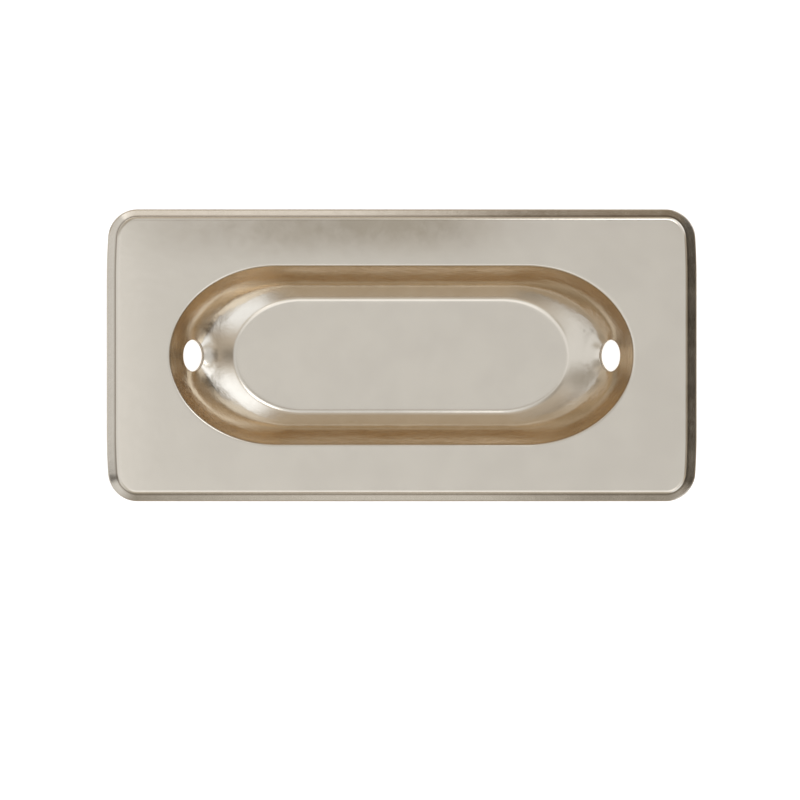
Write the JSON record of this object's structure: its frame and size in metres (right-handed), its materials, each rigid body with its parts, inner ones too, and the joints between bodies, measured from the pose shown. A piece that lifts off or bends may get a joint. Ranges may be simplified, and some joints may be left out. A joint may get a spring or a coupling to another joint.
{
  "type": "recessed sash lift",
  "caption": "Rectangular plate pressed from sheet metal, with a bevelled rim, a deep oval finger recess and angled screw holes in the recess ends, for lifting a window sash.",
  "frame": {"origin": "middle of the underside of the recess floor, which the plate rests on when it lies face up", "axes": "+X along the plate's long side, +Y across it, +Z out of the front face"},
  "size_m": [0.0888, 0.044, 0.0115],
  "materials": {
    "satin_nickel": "satin nickel plate, warm light grey"
  },
  "bodies": {
    "root": {"lift_plate": "satin_nickel"}
  },
  "joints": []
}
